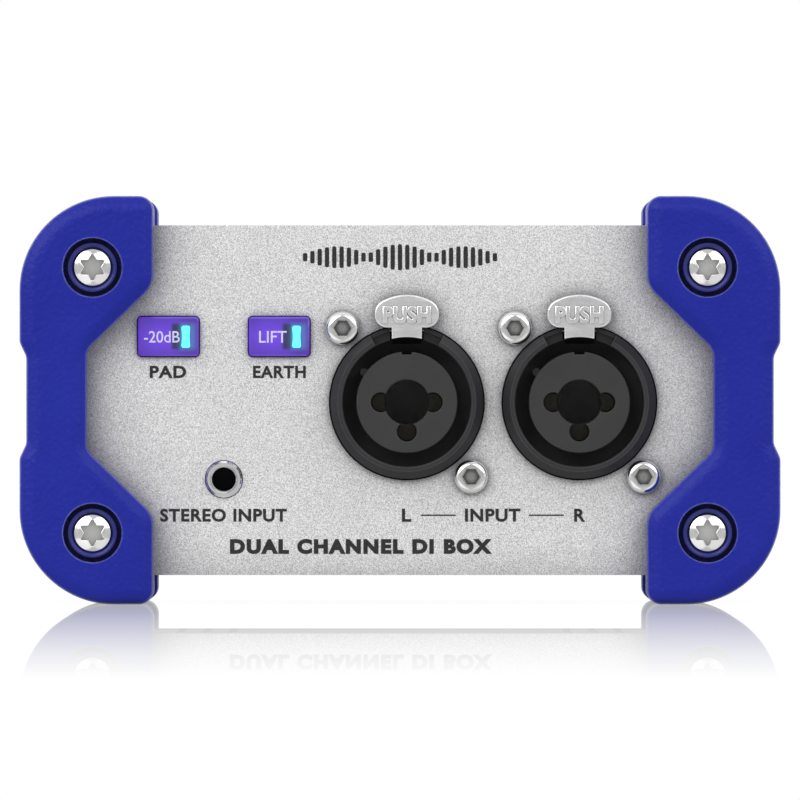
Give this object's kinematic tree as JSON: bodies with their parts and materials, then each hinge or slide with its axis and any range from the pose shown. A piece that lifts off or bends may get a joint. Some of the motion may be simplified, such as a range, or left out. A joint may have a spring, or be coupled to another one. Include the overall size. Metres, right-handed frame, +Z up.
{
  "type": "direct injection box",
  "caption": "Stage direct injection box: silver metal case in blue rubber corner bumpers, combination inputs with release levers, lit push buttons, small stereo jack and balanced rear outputs.",
  "frame": {"origin": "on the surface the box stands on, under the middle of the box", "axes": "+Z up, -Y out of the front panel with the inputs, +X to the right as seen from the front"},
  "size_m": [0.117, 0.134, 0.0628],
  "materials": {
    "case_silver": "fine bead-blasted silver, satin",
    "panel_silver": "fine bead-blasted silver with dark grey printing, satin",
    "bumper_blue": "moulded blue rubber with a fine leather grain, semi-matt",
    "ferrule_blue": "smooth moulded blue",
    "screw_steel": "bright plated steel",
    "connector_black": "moulded black, satin",
    "insert_grey": "moulded dark grey, satin",
    "contact_plated": "silver-plated contact metal",
    "lever_steel": "pressed bright steel with raised lettering",
    "spring_steel": "drawn wire",
    "button_purple": "translucent purple, lit from behind",
    "light_cyan": "glowing cyan light bar",
    "nylon_white": "plain nylon",
    "jack_chrome": "bright plated ring",
    "board_green": "fibreglass board with green solder mask",
    "core_grey": "stacked laminations",
    "coil_amber": "taped winding",
    "can_dark": "sleeved aluminium cans",
    "film_red": "dipped film capacitors",
    "chip_black": "moulded epoxy",
    "resistor_tan": "lacquered film resistors",
    "solder_bright": "bright solder"
  },
  "bodies": {
    "chassis": {"chassis_sleeve": "case_silver", "front_panel": "panel_silver", "rear_panel": "panel_silver", "bumper_front_left": "bumper_blue", "bumper_front_right": "bumper_blue", "bumper_rear_left": "bumper_blue", "bumper_rear_right": "bumper_blue", "bumper_ferrules": "ferrule_blue", "bumper_screws": "screw_steel", "combo_shell_left": "connector_black", "combo_shell_right": "connector_black", "combo_insert_left": "insert_grey", "combo_insert_right": "insert_grey", "combo_contacts_left": "contact_plated", "combo_contacts_right": "contact_plated", "lever_spring_left": "spring_steel", "lever_spring_right": "spring_steel", "lever_pins": "screw_steel", "combo_screws": "screw_steel", "pad_button_spring": "spring_steel", "earth_button_spring": "spring_steel", "pad_switch_body": "connector_black", "earth_switch_body": "connector_black", "indicator_leds": "light_cyan", "minijack_bushing": "jack_chrome", "minijack_body": "connector_black", "minijack_contacts": "contact_plated", "output_shell_left": "connector_black", "output_shell_right": "connector_black", "output_pins_left": "contact_plated", "output_pins_right": "contact_plated", "output_insulators": "insert_grey", "output_screws": "screw_steel", "link_jack_left": "connector_black", "link_jack_right": "connector_black", "link_jack_nuts": "jack_chrome", "link_jack_washers": "jack_chrome", "link_jack_contacts": "contact_plated", "solder_tails": "solder_bright", "main_board": "board_green", "switch_board": "board_green", "board_header": "connector_black", "transformer_core_left": "core_grey", "transformer_core_right": "core_grey", "transformer_coil_left": "coil_amber", "transformer_coil_right": "coil_amber", "electrolytic_capacitors": "can_dark", "film_capacitors": "film_red", "amplifier_chips": "chip_black", "resistors": "resistor_tan"},
    "pad_button": {"pad_button_cap": "button_purple", "pad_light_pipe": "light_cyan", "pad_plunger": "nylon_white"},
    "earth_button": {"earth_button_cap": "button_purple", "earth_light_pipe": "light_cyan", "earth_plunger": "nylon_white"},
    "left_lever": {"release_tab_left": "lever_steel", "latch_arm_left": "connector_black"},
    "right_lever": {"release_tab_right": "lever_steel", "latch_arm_right": "connector_black"}
  },
  "joints": [
    {"name": "pad_button_slide", "type": "slide", "parent": "chassis", "child": "pad_button", "axis": [0, 1, 0], "range_m": [0, 0.002], "stiffness_N_per_m": 200, "springref_m": -0.003, "deforming": ["pad_button_spring"]},
    {"name": "earth_button_slide", "type": "slide", "parent": "chassis", "child": "earth_button", "axis": [0, 1, 0], "range_m": [0, 0.002], "stiffness_N_per_m": 200, "springref_m": -0.003, "deforming": ["earth_button_spring"]},
    {"name": "left_lever_hinge", "type": "hinge", "parent": "chassis", "child": "left_lever", "pos_m": [0.00105, -0.055, 0.04216], "axis": [1, 0, 0], "range_deg": [-8, 0], "stiffness_Nm_per_rad": 0.08, "springref_deg": 5.73, "deforming": ["lever_spring_left"]},
    {"name": "right_lever_hinge", "type": "hinge", "parent": "chassis", "child": "right_lever", "pos_m": [0.0276, -0.055, 0.04216], "axis": [1, 0, 0], "range_deg": [-8, 0], "stiffness_Nm_per_rad": 0.08, "springref_deg": 5.73, "deforming": ["lever_spring_right"]}
  ]
}
